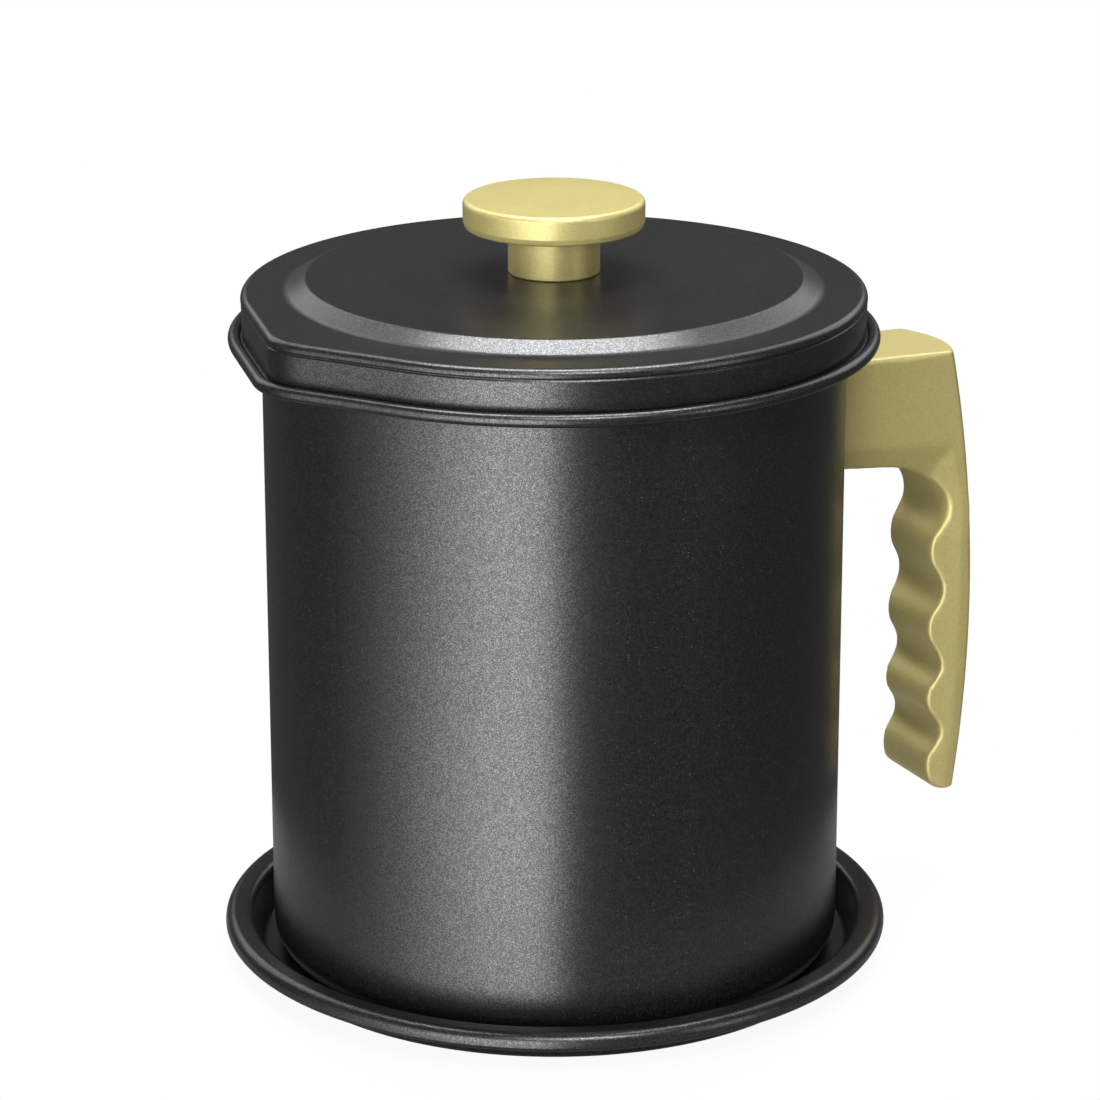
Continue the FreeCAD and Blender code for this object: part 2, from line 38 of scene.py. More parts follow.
import bmesh
import bpy
from mathutils import Matrix, Vector

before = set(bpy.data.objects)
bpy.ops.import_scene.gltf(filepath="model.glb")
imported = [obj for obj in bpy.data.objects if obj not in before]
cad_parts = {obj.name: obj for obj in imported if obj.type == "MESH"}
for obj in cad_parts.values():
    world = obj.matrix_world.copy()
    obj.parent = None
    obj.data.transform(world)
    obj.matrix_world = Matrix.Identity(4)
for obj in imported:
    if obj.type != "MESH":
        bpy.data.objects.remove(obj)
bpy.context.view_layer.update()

MM = 0.001
TRAY_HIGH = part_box("drip_tray")[1]
POT_LOW, POT_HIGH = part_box("pot_shell")
LID_LOW, LID_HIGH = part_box("lid_shell")
STEM_LOW, STEM_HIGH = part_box("knob_stem")
CAP_LOW, CAP_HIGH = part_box("knob_cap")
INSERT_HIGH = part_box("knob_insert")[1]
GRIP_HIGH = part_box("handle_grip")[1]

SPIN_STEPS = 288
ROUND_STEP = math.radians(12)
MERGE = 1e-6

# The photograph's camera stands this far round from the handle's side
VIEW_TURN = math.radians(26.0)
CAMERA_PLACE = (0.0, -0.970, 0.4191)
CAMERA_YAW = math.radians(0.063)
CAMERA_PITCH = math.radians(90.0 - 18.13)
CAMERA_ROLL = math.radians(-0.091)
CAMERA_LENS = 137.22

# Cells per metre in the coating and in the gold paint
FLECK_SCALE = 6500.0
DUST_SCALE = 3800.0
SPECK_SCALE = 1900.0
GRAIN_SCALE = 4200.0

# Lamps are placed as the camera sees them: to the right, away from the camera, and up, in metres
LAMPS = {
    "top_lamp": {"place": (0.0, 0.18, 1.25), "aim": 0.10, "size": (0.9, 0.42), "power": 16.0},
    "right_lamp": {"place": (1.2, -0.75, 0.45), "aim": 0.10, "size": (0.5, 0.8), "power": 2.5},
    "front_lamp": {"place": (0.25, -1.0, 1.5), "aim": 0.10, "size": (0.7, 0.5), "power": 14.0},
    "high_left_lamp": {"place": (-0.62, 0.80, 0.85), "aim": 0.16, "size": (0.8, 0.9), "power": 3.2},
    "high_right_lamp": {"place": (0.62, 0.80, 0.85), "aim": 0.16, "size": (0.8, 0.9), "power": 3.2},
}
WALL_START = math.radians(-7.0)
WALL_STEP = math.radians(14.5)
WALL_HEIGHT = -0.05
WALL_SIZE = (0.25, 1.3)
WALL_POWERS = (5.5, 5.0, 3.3, 1.8, 0.7, 0.25)
WORLD_STRENGTH = 0.07
WORLD_IN_MIRRORS = 0.03

FLOOR_RADIUS = 0.135
FLOOR_FADE_START = 0.085
FLOOR_DROP = 0.0002
FLOOR_WHITE = 0.93
FLOOR_IN_MIRRORS = 0.05
FLOOR_CLEAR_IN_MIRRORS = 0.8

# The handle: where its root ends, how deep the finger side is smoothed, and the arcs of its two edges
UNDER_ROOT = 117.0 * MM
ARC_TOP = UNDER_ROOT - 3.0 * MM
FINGER_SIDE = GRIP_HIGH.x - 14.0 * MM
LOW_ARC = 3.2 * MM
HIGH_ARC = 5.8 * MM
ARC_GROWS_FROM = 78.0 * MM
ARC_GROWS_OVER = 20.0 * MM
ARC_DEPTH = 2.2
ARC_SHARE = 0.70


class GreasePotSizes(bpy.types.PropertyGroup):
    pot_radius: bpy.props.FloatProperty(
        name="Pot radius", description="Outside of the pot's wall", default=70.0 * MM, unit="LENGTH")
    pot_sheet: bpy.props.FloatProperty(
        name="Pot sheet", description="Thickness of the pot's steel", default=0.8 * MM, unit="LENGTH")
    pot_corner: bpy.props.FloatProperty(
        name="Pot corner", description="Radius between wall and bottom", default=7.6 * MM, unit="LENGTH")
    neck_radius: bpy.props.FloatProperty(
        name="Neck radius", description="Where the wall has turned out into the shelf",
        default=72.0 * MM, unit="LENGTH")
    bead_radius: bpy.props.FloatProperty(
        name="Bead circle", description="Circle through the middle of the rolled bead",
        default=76.35 * MM, unit="LENGTH")
    bead_wire: bpy.props.FloatProperty(
        name="Bead thickness", description="Radius of the rolled bead itself", default=1.6 * MM, unit="LENGTH")
    bead_rise: bpy.props.FloatProperty(
        name="Bead rise", description="How far the bead stands above the shelf",
        default=1.0 * MM, unit="LENGTH")
    nose_turn: bpy.props.FloatProperty(
        name="Nose direction", description="Direction of the pouring nose from the handle's side",
        default=math.radians(192.0), subtype="ANGLE")
    nose_spread: bpy.props.FloatProperty(
        name="Nose spread", description="Half the angle between the nose's two straight sides",
        default=math.radians(24.0), subtype="ANGLE")
    nose_tip: bpy.props.FloatProperty(
        name="Nose tip", description="Radius of the nose's tip along the bead",
        default=18.0 * MM, unit="LENGTH")
    lid_radius: bpy.props.FloatProperty(
        name="Lid radius", description="Outside of the lid's skirt", default=74.55 * MM, unit="LENGTH")
    lid_sheet: bpy.props.FloatProperty(
        name="Lid sheet", description="Thickness of the lid's steel", default=0.7 * MM, unit="LENGTH")
    lid_edge_height: bpy.props.FloatProperty(
        name="Lid edge", description="Height of the lid's flat ring above its foot",
        default=10.65 * MM, unit="LENGTH")
    lid_shoulder: bpy.props.FloatProperty(
        name="Lid shoulder", description="How far the shoulder stands out over the skirt",
        default=0.2 * MM, unit="LENGTH")
    groove_drop: bpy.props.FloatProperty(
        name="Groove", description="Depth of the fine groove below the lid's flat ring",
        default=2.5 * MM, unit="LENGTH")
    disc_foot: bpy.props.FloatProperty(
        name="Disc foot", description="Radius where the raised middle starts", default=64.1 * MM, unit="LENGTH")
    disc_radius: bpy.props.FloatProperty(
        name="Disc", description="Radius of the raised middle", default=59.35 * MM, unit="LENGTH")
    disc_rise: bpy.props.FloatProperty(
        name="Disc rise", description="Height of the raised middle", default=2.9 * MM, unit="LENGTH")
    tray_sheet: bpy.props.FloatProperty(
        name="Tray sheet", description="Thickness of the tray's steel", default=0.8 * MM, unit="LENGTH")
    tray_foot: bpy.props.FloatProperty(
        name="Tray foot", description="Radius of the tray's flat middle", default=73.0 * MM, unit="LENGTH")
    tray_rim: bpy.props.FloatProperty(
        name="Tray rim", description="Inner radius of the tray's flat rim", default=75.9 * MM, unit="LENGTH")
    tray_roll: bpy.props.FloatProperty(
        name="Tray roll", description="How far the rolled edge hangs down", default=3.9 * MM, unit="LENGTH")
    cap_edge: bpy.props.FloatProperty(
        name="Knob edge", description="Rounding of the knob's top edge", default=1.4 * MM, unit="LENGTH")
    cap_crown: bpy.props.FloatProperty(
        name="Knob crown", description="How far the knob's top is domed", default=0.7 * MM, unit="LENGTH")
    grip_grain: bpy.props.FloatProperty(
        name="Grip mesh", description="Cell size of the moulded handle's mesh", default=0.5 * MM, unit="LENGTH")


class GreasePotFinish(bpy.types.PropertyGroup):
    coating: bpy.props.FloatVectorProperty(
        name="Coating", description="Dark coating of pot, lid and tray", subtype="COLOR", size=3,
        default=(0.008, 0.008, 0.009), min=0, max=1)
    fleck: bpy.props.FloatVectorProperty(
        name="Flecks", description="Light flecks in the coating", subtype="COLOR", size=3,
        default=(0.12, 0.12, 0.124), min=0, max=1)
    coating_roughness: bpy.props.FloatProperty(
        name="Coating roughness", description="Roughness of the coating", default=0.29, min=0, max=1)
    gold: bpy.props.FloatVectorProperty(
        name="Gold paint", description="Paint of the handle and knob", subtype="COLOR", size=3,
        default=(0.63, 0.545, 0.215), min=0, max=1)
    gold_roughness: bpy.props.FloatProperty(
        name="Gold roughness", description="Roughness of the gold paint", default=0.40, min=0, max=1)
    floor: bpy.props.FloatVectorProperty(
        name="Floor", description="Colour of the floor", subtype="COLOR", size=3,
        default=(0.93, 0.93, 0.93), min=0, max=1)


def sizes():
    return bpy.context.scene.grease_pot_sizes


def finish():
    return bpy.context.scene.grease_pot_finish


class Wire:
    """A shader socket that takes part in sums, so that masks read as plain arithmetic."""

    def __init__(self, tree, socket):
        self.tree = tree
        self.socket = socket

    def maths(self, operation, first, second):
        made = self.tree.nodes.new("ShaderNodeMath")
        made.operation = operation
        for slot, value in zip(made.inputs, (first, second)):
            plug(self.tree, value, slot)
        return Wire(self.tree, made.outputs[0])

    def __add__(self, other):
        return self.maths("ADD", self, other)

    def __radd__(self, other):
        return self.maths("ADD", other, self)

    def __sub__(self, other):
        return self.maths("SUBTRACT", self, other)

    def __rsub__(self, other):
        return self.maths("SUBTRACT", other, self)

    def __mul__(self, other):
        return self.maths("MULTIPLY", self, other)


def plug(tree, value, slot):
    if isinstance(value, Wire):
        tree.links.new(value.socket, slot)
    else:
        slot.default_value = value


class Finish:
    """A material whose shader is built up node by node."""

    def __init__(self, name):
        self.material = bpy.data.materials.new(name)
        self.material.use_nodes = True
        self.tree = self.material.node_tree
        self.tree.nodes.clear()

    def node(self, kind, settings, sockets, output=0):
        made = self.tree.nodes.new(kind)
        for key, value in settings.items():
            if key == "stops":
                set_stops(made.color_ramp, value)
            else:
                setattr(made, key, value)
        for key, value in sockets.items():
            plug(self.tree, value, made.inputs[key])
        return Wire(self.tree, made.outputs[output]) if made.outputs else None

    def place(self):
        return self.node("ShaderNodeTexCoord", {}, {}, "Object")

    def noise(self, place, scale, detail=2.0):
        return self.node("ShaderNodeTexNoise", {}, {"Vector": place, "Scale": scale, "Detail": detail})

    def cells(self, place, scale, output="Color"):
        return self.node("ShaderNodeTexVoronoi", {}, {"Vector": place, "Scale": scale}, output)

    def channel(self, colour, index):
        return self.node("ShaderNodeSeparateColor", {}, {"Color": colour}, index)

    def ramp(self, value, stops):
        return self.node("ShaderNodeValToRGB", {"stops": stops}, {"Fac": value})

    def mix_colour(self, factor, first, second):
        return self.node("ShaderNodeMix", {"data_type": "RGBA"}, {0: factor, 6: first, 7: second}, 2)

    def bump(self, height, depth, strength):
        return self.node("ShaderNodeBump", {}, {"Height": height, "Distance": depth, "Strength": strength})

    def shader(self, sockets):
        surface = self.node("ShaderNodeBsdfPrincipled", {}, sockets)
        self.node("ShaderNodeOutputMaterial", {}, {"Surface": surface}, None)
        return self.material


def set_stops(ramp, stops):
    while len(ramp.elements) > len(stops):
        ramp.elements.remove(ramp.elements[-1])
    while len(ramp.elements) < len(stops):
        ramp.elements.new(1.0)
    for element, (position, grey) in zip(ramp.elements, stops):
        element.position = position
        element.color = (grey, grey, grey, 1.0)


def tint(colour, share):
    return (*(min(channel * share, 1.0) for channel in colour), 1.0)


def coated_steel():
    # Dark satin coating with fine metal flecks, rare pale specks and a faint orange peel
    colours = finish()
    paint = Finish("coated_steel")
    place = paint.place()
    grey = paint.channel(paint.cells(place, FLECK_SCALE), 0)
    fleck = paint.ramp(grey, [(0.66, 0.0), (0.74, 1.0)])
    chosen = paint.channel(paint.cells(place, SPECK_SCALE), 1)
    core = paint.cells(place, SPECK_SCALE, "Distance")
    speck = paint.ramp(chosen, [(0.95, 0.0), (0.965, 1.0)]) * paint.ramp(core, [(0.16, 1.0), (0.28, 0.0)])
    shade = paint.channel(paint.cells(place, DUST_SCALE), 2)
    dark = paint.mix_colour(shade, tint(colours.coating, 0.25), tint(colours.coating, 2.1))
    flecked = paint.mix_colour(fleck, dark, tint(colours.fleck, 1.0))
    cloud = paint.noise(place, 34.0, 3.0)
    peel = paint.noise(place, 700.0, 2.0)
    return paint.shader({
        "Base Color": paint.mix_colour(speck, flecked, tint(colours.fleck, 0.75)),
        "Roughness": colours.coating_roughness + (cloud - 0.5) * 0.05,
        "Metallic": fleck * (1.0 - speck),
        "Normal": paint.bump(peel + grey * 0.35, 0.03 * MM, 0.3),
        "Specular IOR Level": 0.5})


def gold_paint():
    # Champagne metallic paint, fine bright grain under a satin surface
    colours = finish()
    paint = Finish("gold_paint")
    place = paint.place()
    grain = paint.channel(paint.cells(place, GRAIN_SCALE), 0)
    soft = paint.noise(place, 1500.0, 2.0)
    cloud = paint.noise(place, 45.0, 3.0)
    return paint.shader({
        "Base Color": paint.mix_colour(
            grain * 0.6 + soft * 0.4, tint(colours.gold, 0.86), tint(colours.gold, 1.14)),
        "Roughness": colours.gold_roughness + (cloud - 0.5) * 0.06 + (grain - 0.5) * 0.08,
        "Metallic": 0.50,
        "Normal": paint.bump(grain + soft, 0.04 * MM, 0.5),
        "Specular IOR Level": 0.6})


def bare_steel():
    # Spun stainless steel with fine turning marks
    paint = Finish("bare_steel")
    place = paint.place()
    stretched = paint.node("ShaderNodeMapping", {}, {"Vector": place, "Scale": (1.0, 1.0, 14.0)})
    lines = paint.noise(stretched, 420.0, 4.0)
    cloud = paint.noise(place, 60.0, 3.0)
    return paint.shader({
        "Base Color": paint.mix_colour(lines, (0.50, 0.50, 0.51, 1.0), (0.66, 0.66, 0.67, 1.0)),
        "Roughness": 0.24 + lines * 0.12 + cloud * 0.06,
        "Metallic": 1.0,
        "Normal": paint.bump(lines, 0.03 * MM, 0.5)})


def cloudy_metal(name, scale, dark, light, smooth, spread):
    # Plain metal of the small parts, a little uneven in colour and gloss
    paint = Finish(name)
    cloud = paint.noise(paint.place(), scale, 4.0)
    return paint.shader({
        "Base Color": paint.mix_colour(cloud, dark, light),
        "Roughness": smooth + cloud * spread,
        "Metallic": 1.0,
        "Normal": paint.bump(cloud, 0.03 * MM, 0.4)})


def zinc_steel():
    return cloudy_metal("zinc_steel", 300.0, (0.42, 0.43, 0.45, 1.0), (0.60, 0.61, 0.63, 1.0), 0.30, 0.14)


def brass():
    return cloudy_metal("brass", 260.0, (0.56, 0.40, 0.14, 1.0), (0.72, 0.54, 0.22, 1.0), 0.28, 0.12)


MAKERS = {"coated_steel": coated_steel, "gold_paint": gold_paint, "bare_steel": bare_steel,
          "zinc_steel": zinc_steel, "brass": brass}
FINISHES = {}


def material(slot):
    if slot not in FINISHES:
        FINISHES[slot] = MAKERS[slot]()
    return FINISHES[slot]


def open_profile(corners):
    # Half section as a chain of edges: radius, height and the rounding of each corner
    bm = bmesh.new()
    chain = [bm.verts.new((radius, 0.0, height)) for radius, height, _ in corners]
    for first, second in zip(chain, chain[1:]):
        bm.edges.new((first, second))
    rounds = []
    for before, vertex, after, (_, _, rounding) in zip(chain, chain[1:], chain[2:], corners[1:]):
        if rounding > 0:
            turn = (vertex.co - before.co).angle(after.co - vertex.co)
            rounds.append((vertex, rounding * math.tan(turn / 2), max(2, round(turn / ROUND_STEP))))
    for vertex, reach, segments in rounds:
        bmesh.ops.bevel(bm, geom=[vertex], offset=reach, offset_type="OFFSET", affect="VERTICES",
                        segments=segments, profile=0.5, material=-1)
    return bm


def spun(bm):
    bmesh.ops.spin(bm, geom=bm.verts[:] + bm.edges[:], cent=(0, 0, 0), axis=(0, 0, 1),
                   angle=2 * math.pi, steps=SPIN_STEPS, use_merge=True)
    bmesh.ops.remove_doubles(bm, verts=bm.verts, dist=MERGE)
    bmesh.ops.recalc_face_normals(bm, faces=bm.faces)


def finished(bm, name, body, slot, replaced):
    mesh = bpy.data.meshes.new(name)
    bm.to_mesh(mesh)
    bm.free()
    mesh.shade_smooth()
    mesh.materials.append(material(slot))
    piece = bpy.data.objects.new(name, mesh)
    bpy.context.scene.collection.objects.link(piece)
    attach(piece, body)
    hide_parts(*replaced)
    return piece


def outline_reach(radius, angle):
    # Distance to the outline with the pouring nose, whose round part has the given radius
    made = sizes()
    spread = made.nose_spread
    away = abs((angle - made.nose_turn + math.pi) % (2 * math.pi) - math.pi)
    if away >= spread:
        return radius
    tip = made.nose_tip - made.bead_radius + radius
    centre = (radius - tip) / math.cos(spread)
    touch = math.atan2(tip * math.sin(spread), centre + tip * math.cos(spread))
    if away > touch:
        return radius / math.cos(spread - away)
    return centre * math.cos(away) + math.sqrt(tip ** 2 - (centre * math.sin(away)) ** 2)


def draw_nose(bm, start):
    # Every ring outside the start radius is drawn out to the nose's outline
    for vertex in bm.verts:
        radius = math.hypot(vertex.co.x, vertex.co.y)
        if radius > start:
            reach = outline_reach(radius, math.atan2(vertex.co.y, vertex.co.x))
            vertex.co.x *= reach / radius
            vertex.co.y *= reach / radius


def thicken(piece, sheet, offset):
    wall = piece.modifiers.new("sheet", "SOLIDIFY")
    wall.thickness = sheet
    wall.offset = offset
    wall.use_even_offset = True
    steady(piece)


def steady(piece):
    # Large faces keep their own direction, so only the rounded edges shade softly
    shading = piece.modifiers.new("shading", "WEIGHTED_NORMAL")
    shading.weight = 80


class GREASEPOT_OT_stage(bpy.types.Operator):
    """Make the camera, the lamps, the white studio and the floor"""

    bl_idname = "greasepot.stage"
    bl_label = "Stage"

    def execute(self, context):
        add_camera()
        add_lamps()
        add_world()
        add_floor()
        context.scene.view_settings.view_transform = "Standard"
        return {"FINISHED"}


def seen_from_camera(right, away, height):
    # A place given as the camera sees it: to the right, away from the camera, and up
    turn = Matrix.Rotation(-VIEW_TURN, 4, "Z")
    return turn @ Vector((right, away, height))


def add_camera():
    lens = bpy.data.cameras.new("camera")
    lens.sensor_width = 36.0
    lens.lens = CAMERA_LENS
    lens.clip_start = 0.05
    camera = bpy.data.objects.new("camera", lens)
    yaw = Matrix.Rotation(CAMERA_YAW - VIEW_TURN, 4, "Z")
    pitch = Matrix.Rotation(CAMERA_PITCH, 4, "X")
    roll = Matrix.Rotation(CAMERA_ROLL, 4, "Z")
    camera.matrix_world = Matrix.Translation(seen_from_camera(*CAMERA_PLACE)) @ yaw @ pitch @ roll
    bpy.context.scene.collection.objects.link(camera)
    bpy.context.scene.camera = camera


def add_lamp(name, place, aim, size, power):
    # Looks at the height aim on the pot's axis
    lamp = bpy.data.lights.new(name, "AREA")
    lamp.shape = "RECTANGLE"
    lamp.size, lamp.size_y = size
    lamp.energy = power
    holder = bpy.data.objects.new(name, lamp)
    spot = seen_from_camera(*place)
    away = spot - Vector((0.0, 0.0, aim))
    holder.matrix_world = Matrix.Translation(spot) @ away.to_track_quat("Z", "Y").to_matrix().to_4x4()
    holder.visible_camera = False
    bpy.context.scene.collection.objects.link(holder)


def add_lamps():
    # A tall soft wall of light curves round the front left and fades towards the left
    for index, power in enumerate(WALL_POWERS):
        turn = WALL_START - index * WALL_STEP
        place = (math.sin(turn), -math.cos(turn), WALL_HEIGHT)
        add_lamp("wall_lamp_%d" % index, place, WALL_HEIGHT, WALL_SIZE, power)
    for name, lamp in LAMPS.items():
        add_lamp(name, **lamp)


def add_world():
    # White where the camera looks past the part, and a faint even light everywhere else
    world = bpy.data.worlds.new("studio")
    world.use_nodes = True
    tree = world.node_tree
    sky = tree.nodes["Background"]
    sky.inputs["Color"].default_value = (1.0, 1.0, 1.0, 1.0)
    path = tree.nodes.new("ShaderNodeLightPath")
    shown = Wire(tree, path.outputs["Is Camera Ray"])
    mirrored = Wire(tree, path.outputs["Is Glossy Ray"])
    strength = WORLD_STRENGTH + shown * (1.0 - WORLD_STRENGTH) + mirrored * WORLD_IN_MIRRORS
    plug(tree, strength, sky.inputs["Strength"])
    bpy.context.scene.world = world


def add_floor():
    # A pale round floor that fades into the white studio round it
    bm = bmesh.new()
    bmesh.ops.create_circle(bm, cap_ends=True, segments=96, radius=FLOOR_RADIUS)
    mesh = bpy.data.meshes.new("floor")
    bm.to_mesh(mesh)
    bm.free()
    paint = Finish("floor")
    away = paint.node("ShaderNodeVectorMath", {"operation": "LENGTH"}, {0: paint.place()}, "Value")
    fade = paint.node("ShaderNodeMapRange", {"interpolation_type": "SMOOTHSTEP"},
                      {"Value": away, "From Min": FLOOR_FADE_START, "From Max": FLOOR_RADIUS * 0.97})
    lit = paint.node("ShaderNodeBsdfDiffuse", {}, {"Color": tint(finish().floor, 1.0)})
    white = paint.node("ShaderNodeEmission", {}, {"Color": (1.0, 1.0, 1.0, 1.0), "Strength": 1.0})
    shown = paint.node("ShaderNodeLightPath", {}, {}, "Is Camera Ray")
    mirrored = paint.node("ShaderNodeLightPath", {}, {}, "Is Glossy Ray")
    whiteness = shown * (FLOOR_WHITE + fade * (1.0 - FLOOR_WHITE)) + mirrored * FLOOR_IN_MIRRORS
    pale = paint.node("ShaderNodeMixShader", {}, {0: whiteness, 1: lit, 2: white})
    clear = paint.node("ShaderNodeBsdfTransparent", {}, {})
    mixed = paint.node("ShaderNodeMixShader", {}, {0: mirrored * FLOOR_CLEAR_IN_MIRRORS, 1: pale, 2: clear})
    paint.node("ShaderNodeOutputMaterial", {}, {"Surface": mixed}, None)
    mesh.materials.append(paint.material)
    floor = bpy.data.objects.new("floor", mesh)
    floor.location.z = -FLOOR_DROP
    bpy.context.scene.collection.objects.link(floor)


class GREASEPOT_OT_pot(bpy.types.Operator):
    """Make the pot with its shelf, its rolled bead and its pouring nose"""

    bl_idname = "greasepot.pot"
    bl_label = "Pot"

    def execute(self, context):
        made = sizes()
        half = made.pot_sheet / 2
        wall = made.pot_radius - half
        low = POT_LOW.z + half
        bead_z = POT_HIGH.z - made.bead_wire
        shelf = POT_HIGH.z - made.bead_rise - half
        bm = open_profile([(0.0, low, 0.0), (wall, low, made.pot_corner), (wall, shelf, 1.2 * MM),
                           (made.neck_radius, shelf, 0.0), (made.bead_radius - 0.6 * MM, shelf, 0.0)])
        spun(bm)
        draw_nose(bm, made.neck_radius + 0.5 * MM)
        shell = finished(bm, "pot_wall", "pot", "coated_steel", ["pot_shell"])
        thicken(shell, made.pot_sheet, 0.0)
        bead = bmesh.new()
        bmesh.ops.create_circle(bead, segments=28, radius=made.bead_wire)
        turn = Matrix.Translation((made.bead_radius, 0.0, bead_z)) @ Matrix.Rotation(math.pi / 2, 4, "X")
        bmesh.ops.transform(bead, matrix=turn, verts=bead.verts)
        spun(bead)
        draw_nose(bead, made.neck_radius)
        steady(finished(bead, "pot_bead", "pot", "coated_steel", ["pot_shell"]))
        return {"FINISHED"}


class GREASEPOT_OT_lid(bpy.types.Operator):
    """Make the lid with its skirt, nose and raised middle"""

    bl_idname = "greasepot.lid"
    bl_label = "Lid"

    def execute(self, context):
        made = sizes()
        foot = LID_LOW.z
        ring = foot + made.lid_edge_height
        disc = ring + made.disc_rise
        shoulder = made.lid_radius + made.lid_shoulder
        groove = ring - made.groove_drop
        bm = open_profile([
            (made.lid_radius, foot, 0.0), (made.lid_radius + 0.1 * MM, groove - 0.4 * MM, 0.3 * MM),
            (made.lid_radius - 0.25 * MM, groove, 0.15 * MM), (shoulder, groove + 0.45 * MM, 0.5 * MM),
            (shoulder, ring - 0.1 * MM, 1.8 * MM), (made.disc_foot, ring, 4.0 * MM),
            (made.disc_radius, disc, 1.4 * MM), (STEM_HIGH.x, LID_HIGH.z, 0.0), (0.0, LID_HIGH.z, 0.0)])
        spun(bm)
        draw_nose(bm, made.disc_foot + 3.0 * MM)
        lid = finished(bm, "lid_pressing", "lid", "coated_steel", ["lid_shell"])
        thicken(lid, made.lid_sheet, -1.0)
        return {"FINISHED"}


class GREASEPOT_OT_tray(bpy.types.Operator):
    """Make the drip tray with its rolled rim"""

    bl_idname = "greasepot.tray"
    bl_label = "Drip tray"

    def execute(self, context):
        made = sizes()
        half = made.tray_sheet / 2
        rim = TRAY_HIGH.z - half
        outer = TRAY_HIGH.x - half
        curl = outer - 2.6 * MM
        bm = open_profile([(0.0, half, 0.0), (made.tray_foot, half, 1.6 * MM), (made.tray_rim, rim, 1.6 * MM),
                           (outer, rim, 2.2 * MM), (outer, rim - made.tray_roll + half, 1.0 * MM),
                           (curl, rim - made.tray_roll + half, 0.9 * MM), (curl, rim - 1.4 * MM, 0.0)])
        spun(bm)
        tray = finished(bm, "tray_pressing", "tray", "coated_steel", ["drip_tray"])
        thicken(tray, made.tray_sheet, 0.0)
        return {"FINISHED"}


class GREASEPOT_OT_knob(bpy.types.Operator):
    """Make the knob's round cap and the collar under it"""

    bl_idname = "greasepot.knob"
    bl_label = "Knob"

    def execute(self, context):
        made = sizes()
        bore, top = INSERT_HIGH.x, INSERT_HIGH.z
        radius, low, high = CAP_HIGH.x, CAP_LOW.z, CAP_HIGH.z
        crown = made.cap_crown
        cap = open_profile([(0.0, top, 0.0), (bore, top, 0.0), (bore, low, 0.3 * MM),
                            (radius - 0.5 * MM, low, 0.9 * MM), (radius, low + 1.6 * MM, 0.8 * MM),
                            (radius, high - crown, made.cap_edge),
                            (radius * 0.62, high - crown * 0.25, 30.0 * MM), (0.0, high, 0.0)])
        spun(cap)
        steady(finished(cap, "knob_disc", "lid", "gold_paint", ["knob_cap"]))
        stem = open_profile([(0.0, STEM_LOW.z, 0.0), (STEM_HIGH.x, STEM_LOW.z, 0.4 * MM),
                             (STEM_HIGH.x, STEM_HIGH.z, 0.3 * MM), (0.0, STEM_HIGH.z, 0.0)])
        spun(stem)
        steady(finished(stem, "knob_collar", "lid", "gold_paint", ["knob_stem"]))
        return {"FINISHED"}


def soften(vertices, bm, passes):
    for _ in range(passes):
        bmesh.ops.smooth_vert(bm, verts=vertices, factor=0.5, use_axis_x=True, use_axis_y=True, use_axis_z=True)


def grip_slices(bm):
    # Finger side and back of the grip in each millimetre of its height
    slices = {}
    for vertex in bm.verts:
        if abs(vertex.co.y) < GRIP_HIGH.y / 2 and vertex.co.z < ARC_TOP:
            level = round(vertex.co.z / MM)
            near, far = slices.get(level, (vertex.co.x, vertex.co.x))
            slices[level] = (min(near, vertex.co.x), max(far, vertex.co.x))
    return slices


def round_grip(bm):
    # Draws the two edges on the finger side back along an arc, widest in the corner under the root
    slices = grip_slices(bm)
    for vertex in bm.verts:
        level = round(vertex.co.z / MM)
        if level not in slices or vertex.co.z > ARC_TOP:
            continue
        near, far = slices[level]
        grown = min(max((vertex.co.z - ARC_GROWS_FROM) / ARC_GROWS_OVER, 0.0), 1.0)
        arc = LOW_ARC + (HIGH_ARC - LOW_ARC) * grown
        over = min(max(abs(vertex.co.y) - (GRIP_HIGH.y - arc), 0.0), arc)
        drawn = arc - math.sqrt(arc * arc - over * over)
        share = 1.0 - (vertex.co.x - near) / min(ARC_DEPTH * arc, ARC_SHARE * (far - near))
        vertex.co.x += drawn * max(share, 0.0)


class GREASEPOT_OT_handle(bpy.types.Operator):
    """Make the moulded handle with soft edges"""

    bl_idname = "greasepot.handle"
    bl_label = "Handle"

    def execute(self, context):
        made = sizes()
        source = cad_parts["handle_grip"].data.copy()
        bm = bmesh.new()
        bm.from_mesh(source)
        bmesh.ops.remove_doubles(bm, verts=bm.verts, dist=MERGE)
        bm.to_mesh(source)
        bm.free()
        rough = bpy.data.objects.new("handle_rough", source)
        context.scene.collection.objects.link(rough)
        cells = rough.modifiers.new("cells", "REMESH")
        cells.mode = "VOXEL"
        cells.voxel_size = made.grip_grain
        shape = bpy.data.meshes.new_from_object(rough.evaluated_get(context.evaluated_depsgraph_get()))
        bpy.data.objects.remove(rough)
        moulded = bmesh.new()
        moulded.from_mesh(shape)
        soften(moulded.verts, moulded, 6)
        round_grip(moulded)
        fingers = [vertex for vertex in moulded.verts
                   if vertex.co.z < UNDER_ROOT and vertex.co.x < FINGER_SIDE]
        soften(fingers, moulded, 10)
        soften(moulded.verts, moulded, 2)
        finished(moulded, "handle_moulding", "pot", "gold_paint", ["handle_grip"])
        return {"FINISHED"}


class GREASEPOT_OT_strainer(bpy.types.Operator):
    """Give the strainer's basket, screen and ring their spun steel"""

    bl_idname = "greasepot.strainer"
    bl_label = "Strainer"

    def execute(self, context):
        for name in ("strainer_basket", "mesh_screen", "mesh_ring"):
            dress(name, "bare_steel")
        return {"FINISHED"}


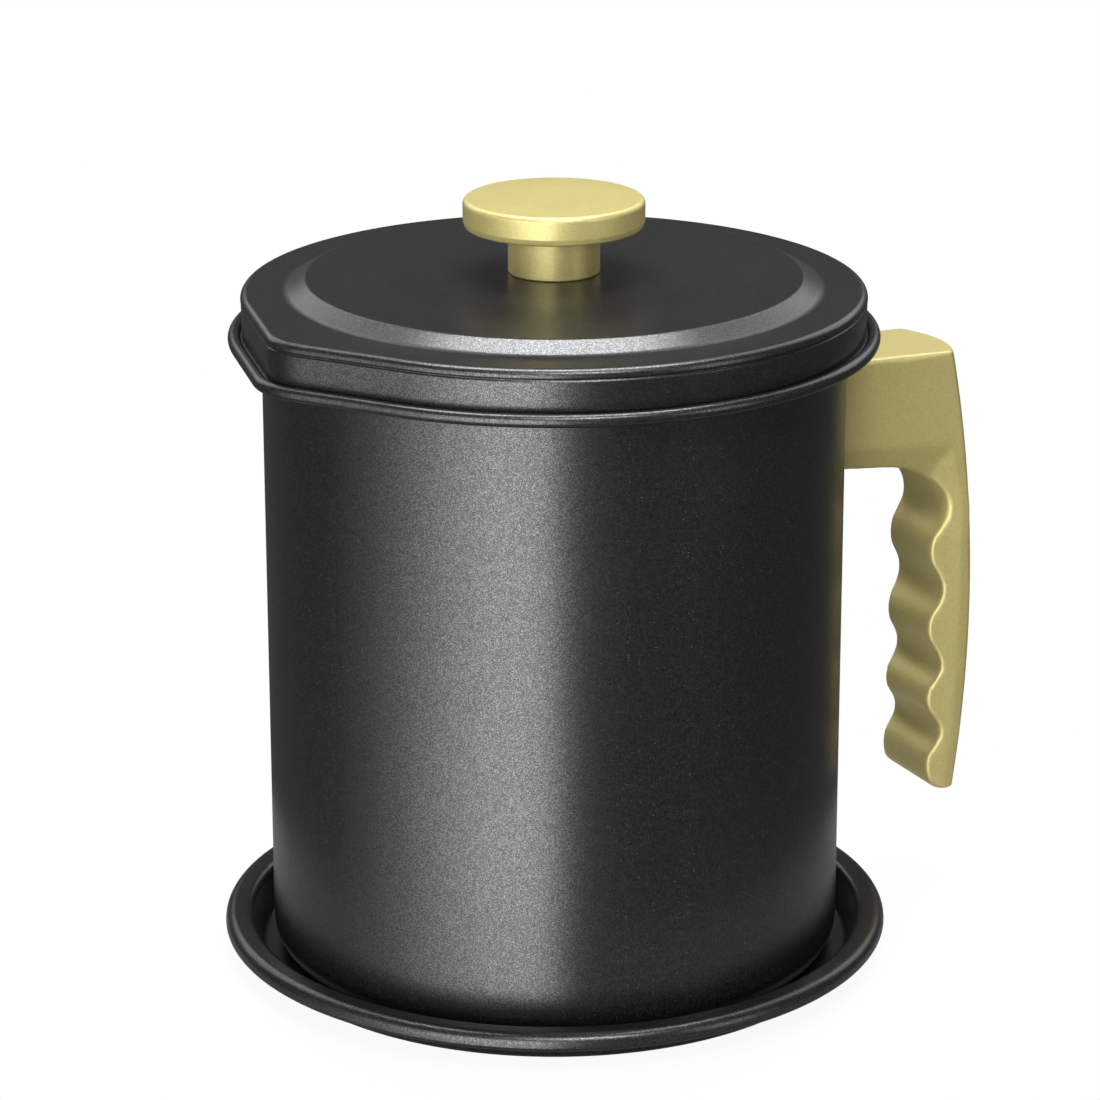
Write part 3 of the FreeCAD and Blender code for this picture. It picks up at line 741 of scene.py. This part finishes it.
class GREASEPOT_OT_fixings(bpy.types.Operator):
    """Give the screws, washers, nut, insert and bracket their metals"""

    bl_idname = "greasepot.fixings"
    bl_label = "Fixings"

    def execute(self, context):
        for name in ("handle_bracket", "handle_nut", "handle_washer", "handle_screw",
                     "knob_washer", "knob_screw"):
            dress(name, "zinc_steel")
        dress("knob_insert", "brass")
        return {"FINISHED"}


def dress(name, slot):
    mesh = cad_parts[name].data
    mesh.materials.clear()
    mesh.materials.append(material(slot))


class GREASEPOT_PT_panel(bpy.types.Panel):
    bl_idname = "GREASEPOT_PT_panel"
    bl_label = "Grease Pot"
    bl_space_type = "VIEW_3D"
    bl_region_type = "UI"
    bl_category = "Grease Pot"

    def draw(self, context):
        for step in STEPS:
            self.layout.operator(step.bl_idname)
        for group in (sizes(), finish()):
            for name in group.bl_rna.properties.keys():
                if name not in ("rna_type", "name"):
                    self.layout.prop(group, name)


STEPS = (GREASEPOT_OT_stage, GREASEPOT_OT_pot, GREASEPOT_OT_lid, GREASEPOT_OT_tray, GREASEPOT_OT_knob,
         GREASEPOT_OT_handle, GREASEPOT_OT_strainer, GREASEPOT_OT_fixings)
CLASSES = (GreasePotSizes, GreasePotFinish) + STEPS + (GREASEPOT_PT_panel,)


def register():
    for cls in CLASSES:
        bpy.utils.register_class(cls)
    bpy.types.Scene.grease_pot_sizes = bpy.props.PointerProperty(type=GreasePotSizes)
    bpy.types.Scene.grease_pot_finish = bpy.props.PointerProperty(type=GreasePotFinish)


def unregister():
    del bpy.types.Scene.grease_pot_finish
    del bpy.types.Scene.grease_pot_sizes
    for cls in reversed(CLASSES):
        bpy.utils.unregister_class(cls)


def main():
    register()
    bpy.ops.greasepot.stage()
    bpy.ops.greasepot.pot()
    bpy.ops.greasepot.lid()
    bpy.ops.greasepot.tray()
    bpy.ops.greasepot.knob()
    bpy.ops.greasepot.handle()
    bpy.ops.greasepot.strainer()
    bpy.ops.greasepot.fixings()
    bpy.context.view_layer.update()


if __name__ == "__main__":
    main()
